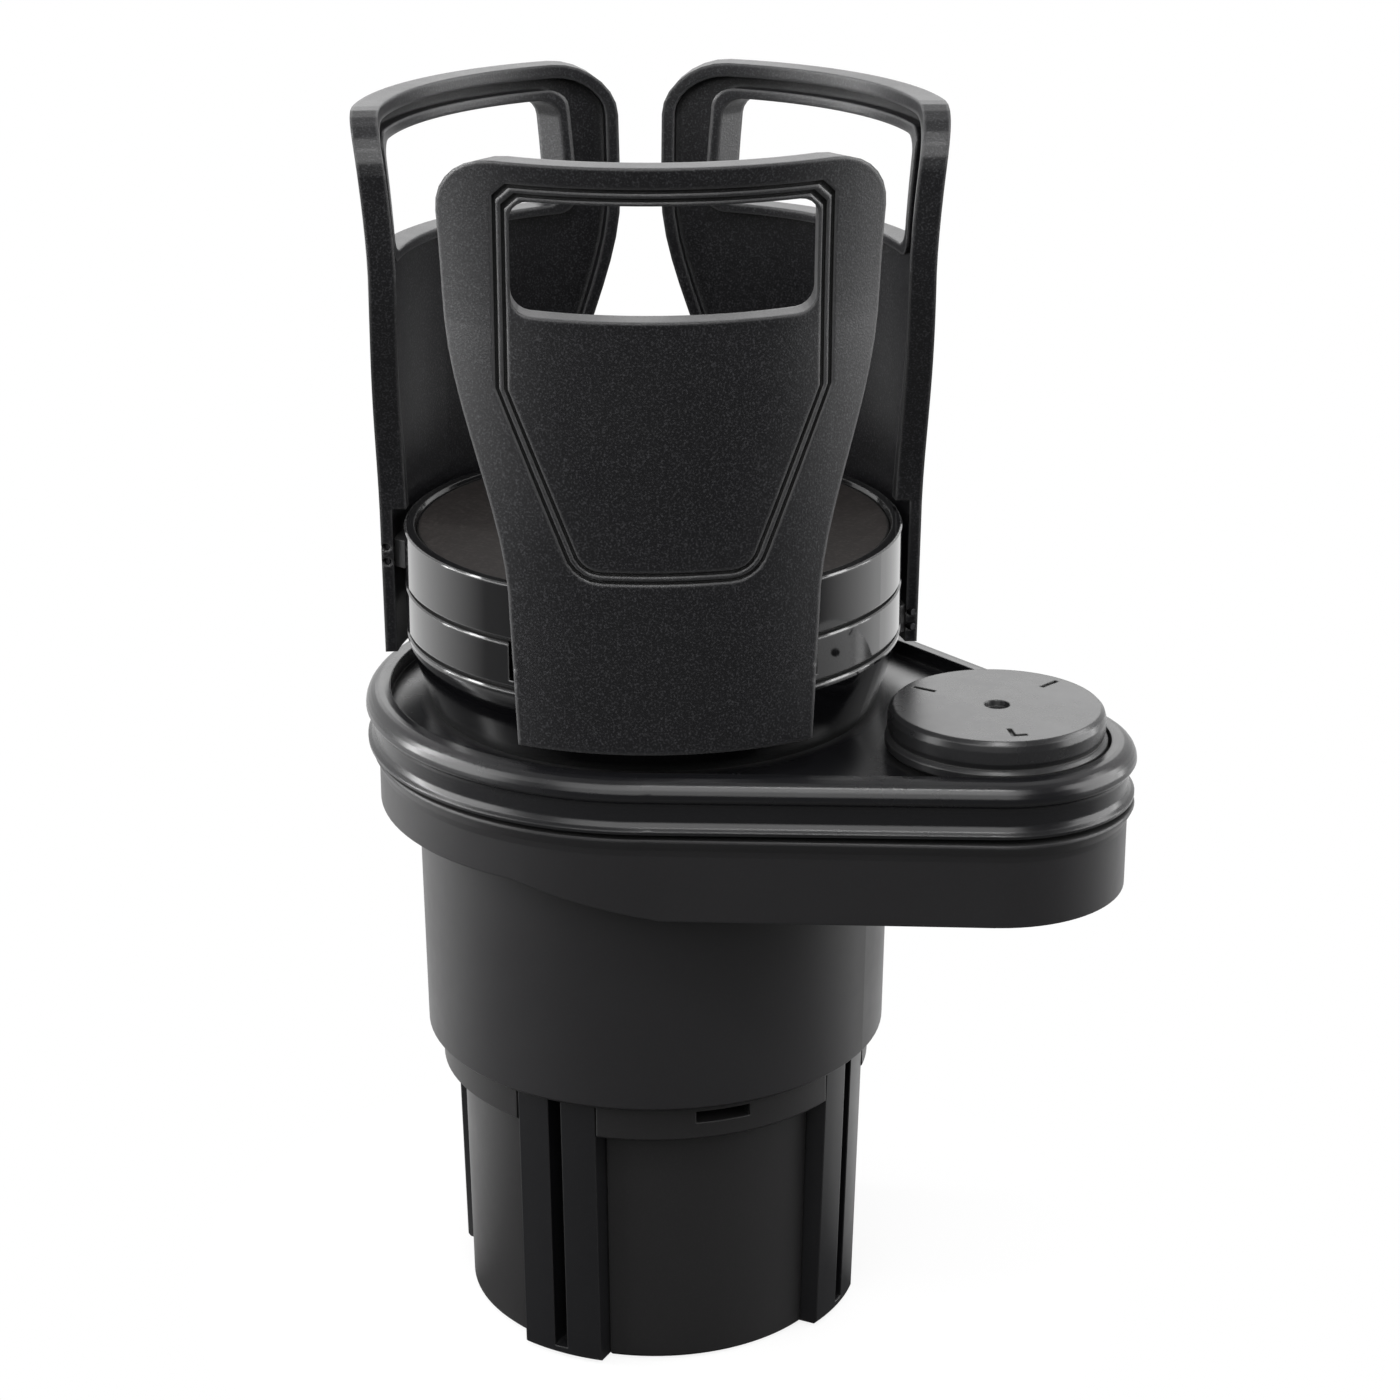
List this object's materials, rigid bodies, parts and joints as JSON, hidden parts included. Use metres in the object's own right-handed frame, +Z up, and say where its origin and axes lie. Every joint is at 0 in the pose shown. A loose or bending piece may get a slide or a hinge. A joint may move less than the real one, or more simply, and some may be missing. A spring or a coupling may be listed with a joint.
{
  "type": "car cup holder",
  "caption": "Two-tier car cup holder with a twist-spread foot, a swing-out upper tray and sliding petals that close on a cup.",
  "frame": {"origin": "centre of the foot's flat underside, on the cup's axis", "axes": "+Z up along the cup's axis, +X towards the swing pivot and its knob, +Y to the rear claw"},
  "size_m": [0.1343, 0.0978, 0.21],
  "materials": {
    "foot_plastic": "satin moulded",
    "claw_plastic": "satin moulded",
    "body_plastic": "satin moulded",
    "inner_plastic": "plain moulded",
    "drum_gloss": "polished",
    "petal_plastic": "fine spark grain",
    "knob_plastic": "satin moulded",
    "pinion_plastic": "plain moulded",
    "pad_rubber": "matt",
    "steel": "zinc plated",
    "black_steel": "blackened",
    "brass": "turned"
  },
  "bodies": {
    "foot": {"foot_shell": "foot_plastic", "foot_cover": "foot_plastic", "cover_screws": "steel"},
    "claw_right": {"claw_right": "claw_plastic"},
    "claw_rear": {"claw_rear": "claw_plastic"},
    "claw_left": {"claw_left": "claw_plastic"},
    "claw_front": {"claw_front": "claw_plastic"},
    "housing": {"main_cup": "body_plastic", "cam_plate": "inner_plastic", "cam_screws": "steel", "retaining_washer": "steel", "spindle_screw": "steel", "lower_pad": "pad_rubber", "pivot_nut": "brass"},
    "arm": {"upper_tray": "body_plastic", "tray_screws": "steel", "drum_base": "drum_gloss", "drum_middle": "drum_gloss", "spacer_plate": "inner_plastic", "drum_cap": "drum_gloss", "stack_screws": "steel", "pinion_axle": "steel", "upper_pad": "pad_rubber"},
    "knob": {"lock_knob": "knob_plastic", "knob_bolt": "steel", "knob_washer": "steel"},
    "pinion": {"pinion": "pinion_plastic"},
    "petal_right": {"petal_right": "petal_plastic", "slide_right": "inner_plastic", "pins_right": "black_steel"},
    "petal_front": {"petal_front": "petal_plastic", "slide_front": "inner_plastic", "pins_front": "black_steel"},
    "petal_left": {"petal_left": "petal_plastic", "slide_left": "inner_plastic", "pins_left": "black_steel"}
  },
  "joints": [
    {"name": "foot_twist", "type": "hinge", "parent": "foot", "child": "housing", "pos_m": [0, 0, 0.05], "axis": [0, 0, 1], "range_deg": [0, 80]},
    {"name": "claw_right_slide", "type": "slide", "parent": "foot", "child": "claw_right", "axis": [1, 0, 0], "range_m": [0, 0.007]},
    {"name": "claw_rear_slide", "type": "slide", "parent": "foot", "child": "claw_rear", "axis": [0, 1, 0], "range_m": [0, 0.007]},
    {"name": "claw_left_slide", "type": "slide", "parent": "foot", "child": "claw_left", "axis": [-1, 0, 0], "range_m": [0, 0.007]},
    {"name": "claw_front_slide", "type": "slide", "parent": "foot", "child": "claw_front", "axis": [0, -1, 0], "range_m": [0, 0.007]},
    {"name": "arm_swing", "type": "hinge", "parent": "housing", "child": "arm", "pos_m": [0.0625, 0, 0.105], "axis": [0, 0, 1], "continuous": true},
    {"name": "knob_turn", "type": "hinge", "parent": "housing", "child": "knob", "pos_m": [0.0625, 0, 0.115], "axis": [0, 0, 1], "range_deg": [0, 90]},
    {"name": "petal_right_slide", "type": "slide", "parent": "arm", "child": "petal_right", "axis": [0.3746, 0.9272, 0], "range_m": [0, 0.012]},
    {"name": "petal_front_slide", "type": "slide", "parent": "arm", "child": "petal_front", "axis": [0.5, -0.866, 0], "range_m": [0, 0.012]},
    {"name": "petal_left_slide", "type": "slide", "parent": "arm", "child": "petal_left", "axis": [-0.9903, 0.1392, 0], "range_m": [0, 0.012]},
    {"name": "pinion_turn", "type": "hinge", "parent": "arm", "child": "pinion", "pos_m": [0, 0, 0.125], "axis": [0, 0, 1], "range_deg": [-118, 0]}
  ],
  "couplings": [
    {"joint": "claw_right_slide", "follows": "foot_twist", "m_per_rad": 0.005},
    {"joint": "claw_rear_slide", "follows": "foot_twist", "m_per_rad": 0.005},
    {"joint": "claw_left_slide", "follows": "foot_twist", "m_per_rad": 0.005},
    {"joint": "claw_front_slide", "follows": "foot_twist", "m_per_rad": 0.005},
    {"joint": "petal_front_slide", "follows": "petal_right_slide", "ratio": 1},
    {"joint": "petal_left_slide", "follows": "petal_right_slide", "ratio": 1},
    {"joint": "pinion_turn", "follows": "petal_right_slide", "rad_per_m": -166.67}
  ]
}
